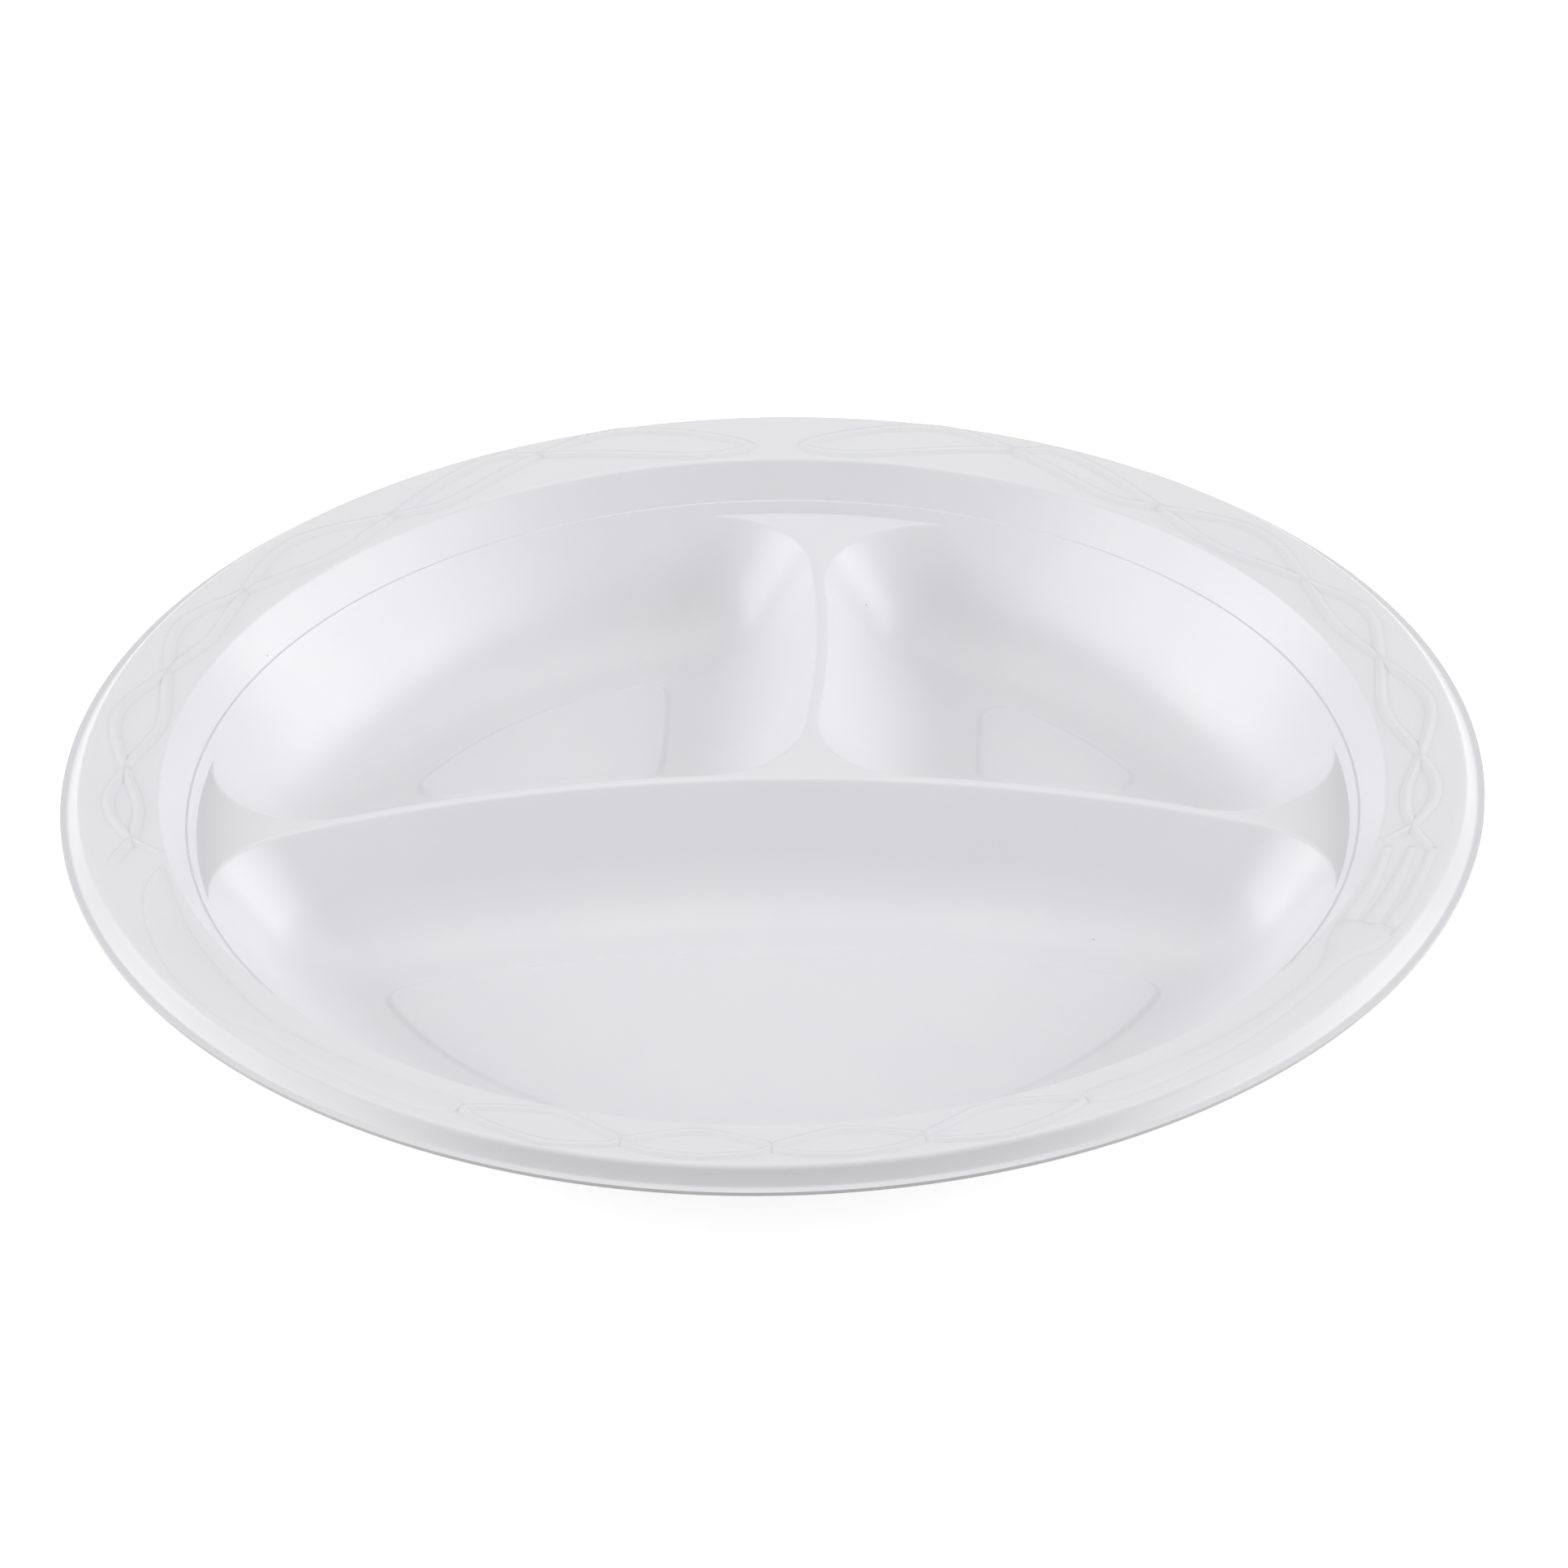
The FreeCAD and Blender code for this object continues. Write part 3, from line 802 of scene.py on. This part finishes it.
def raise_motif(sizes, motif):
    """The raised lines and shapes of the rim, as a bmesh of soft bands."""
    bm = bmesh.new()
    wave = wave_strands()
    for places in (wave, mirror_places(wave)):
        lay_line(bm, sizes, motif, smooth_line(places))
    lay_line(bm, sizes, motif, smooth_line(chain_strand(), closed=True), closed=True)
    for inner, outer in ((KNIFE_INNER, KNIFE_OUTER), (FORK_INNER, FORK_OUTER)):
        lay_band(bm, sizes, motif, sampled_edge(inner, SHAPE_STEPS),
                 sampled_edge(outer, SHAPE_STEPS), motif.shape_height, motif.shape_edge)
    for inner_head, outer_head, inner_tip, outer_tip in TINES:
        lay_band(bm, sizes, motif, sampled_edge([inner_head, inner_tip], TINE_STEPS),
                 sampled_edge([outer_head, outer_tip], TINE_STEPS),
                 motif.tine_height, motif.shape_edge)
    bmesh.ops.remove_doubles(bm, verts=bm.verts, dist=MERGE)
    bmesh.ops.recalc_face_normals(bm, faces=bm.faces)
    turned = [face for face in bm.faces if face.normal.z < 0]
    bmesh.ops.reverse_faces(bm, faces=turned)
    return bm


class PLATE_OT_motif(bpy.types.Operator):
    """Raise the interlaced wave, the chain, the knife and the fork on the rim"""

    bl_idname = "plate.motif"
    bl_label = "Rim motif"

    def execute(self, context):
        motif = context.scene.plate_motif
        bm = raise_motif(context.scene.plate_skin, motif)
        piece = add_object("rim_motif", bm, plastic(context.scene.plate_finish))
        backing = piece.modifiers.new("Backing", "SOLIDIFY")
        backing.thickness = motif.backing
        backing.offset = -1
        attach(piece, "root")
        return {"FINISHED"}


# ---------------------------------------------------------------- the studio

LIGHT_AIM = Vector((0, 0, 10 * MM))  # where the softboxes point
FLOOR_SIZE = 3                       # half the floor's width, in metres
FLOOR_GAP = 0.2 * MM                 # from the floor up to the plate


def add_softbox(name, place, width, depth, power):
    """An oblong softbox that faces the plate."""
    lamp = bpy.data.lights.new(name, "AREA")
    lamp.shape = "RECTANGLE"
    lamp.size = width
    lamp.size_y = depth
    lamp.energy = power
    box = bpy.data.objects.new(name, lamp)
    box.location = place
    box.rotation_euler = (LIGHT_AIM - Vector(place)).to_track_quat("-Z", "Y").to_euler()
    bpy.context.scene.collection.objects.link(box)
    return box


def add_camera(finish):
    """The camera, looking down at the plate from the front."""
    data = bpy.data.cameras.new("camera")
    data.sensor_width = 36
    data.lens = finish.lens
    camera = bpy.data.objects.new("camera", data)
    place = Vector(finish.camera_place)
    sight = (Vector(finish.camera_aim) - place).to_track_quat("-Z", "Y").to_matrix()
    turn = sight @ Matrix.Rotation(finish.camera_roll, 3, "Z")
    camera.matrix_world = Matrix.Translation(place) @ turn.to_4x4()
    bpy.context.scene.collection.objects.link(camera)
    bpy.context.scene.camera = camera


def surrounding_light():
    """Soft light from the studio's white walls, and little from below."""
    world = bpy.data.worlds.new("studio")
    world.use_nodes = True
    tree = world.node_tree
    view = add_node(tree, "ShaderNodeTexCoord").outputs["Generated"]
    height = add_node(tree, "ShaderNodeSeparateXYZ", Vector=view).outputs["Z"]
    share = add_node(tree, "ShaderNodeMapRange",
                     {"interpolation_type": "SMOOTHSTEP", "From Min": -0.08, "From Max": 0.08,
                      "To Min": 0.15, "To Max": 0.49}, Value=height)
    background = tree.nodes["Background"]
    background.inputs["Color"].default_value = linear("#FCFCFB")
    tree.links.new(share.outputs["Result"], background.inputs["Strength"])
    return world


class PLATE_OT_stage(bpy.types.Operator):
    """Set the floor, the softboxes, the surrounding light and the camera"""

    bl_idname = "plate.stage"
    bl_label = "Stage"

    def execute(self, context):
        finish = context.scene.plate_finish
        bm = bmesh.new()
        bmesh.ops.create_grid(bm, x_segments=4, y_segments=4, size=FLOOR_SIZE)
        bmesh.ops.translate(bm, verts=bm.verts, vec=(0, 0, -FLOOR_GAP))
        floor = add_object("floor", bm, studio_paper(finish))
        floor.visible_diffuse = False
        left = add_softbox("softbox_left", (-1.25, 0.0, 0.6), 1.6, 0.9, 11.7)
        right = add_softbox("softbox_right", (1.25, 0.0, 0.6), 1.6, 0.9, 12.3)
        top = add_softbox("softbox_top", (0, 0.5, 1.4), 1.4, 1.0, 3.1)
        context.scene.world = surrounding_light()
        context.scene.view_settings.view_transform = "Standard"
        add_camera(finish)
        return {"FINISHED"}


# ---------------------------------------------------------------- the add-on

GROUPS = {"plate_skin": PLATE_PG_skin, "plate_motif": PLATE_PG_motif,
          "plate_finish": PLATE_PG_finish}
OPERATORS = (PLATE_OT_skin, PLATE_OT_motif, PLATE_OT_stage)


class PLATE_PT_panel(bpy.types.Panel):
    """The plate's pieces, with their sizes"""

    bl_idname = "PLATE_PT_panel"
    bl_label = "Three-compartment plate"
    bl_space_type = "VIEW_3D"
    bl_region_type = "UI"
    bl_category = "Plate"

    def draw(self, context):
        for operator in OPERATORS:
            self.layout.operator(operator.bl_idname)
        for name, group in GROUPS.items():
            box = self.layout.box()
            for key in group.__annotations__:
                box.prop(getattr(context.scene, name), key)


def register():
    """Register the classes, and hang the property groups on the scene."""
    for group in GROUPS.values():
        bpy.utils.register_class(group)
    for name, group in GROUPS.items():
        setattr(bpy.types.Scene, name, bpy.props.PointerProperty(type=group))
    for operator in OPERATORS:
        bpy.utils.register_class(operator)
    bpy.utils.register_class(PLATE_PT_panel)


def unregister():
    """Undo register, in the opposite order."""
    bpy.utils.unregister_class(PLATE_PT_panel)
    for operator in reversed(OPERATORS):
        bpy.utils.unregister_class(operator)
    for name in GROUPS:
        delattr(bpy.types.Scene, name)
    for group in reversed(list(GROUPS.values())):
        bpy.utils.unregister_class(group)


def main():
    """Build the plate and its stage."""
    register()
    bpy.ops.plate.skin()
    bpy.ops.plate.motif()
    bpy.ops.plate.stage()


if __name__ == "__main__":
    main()
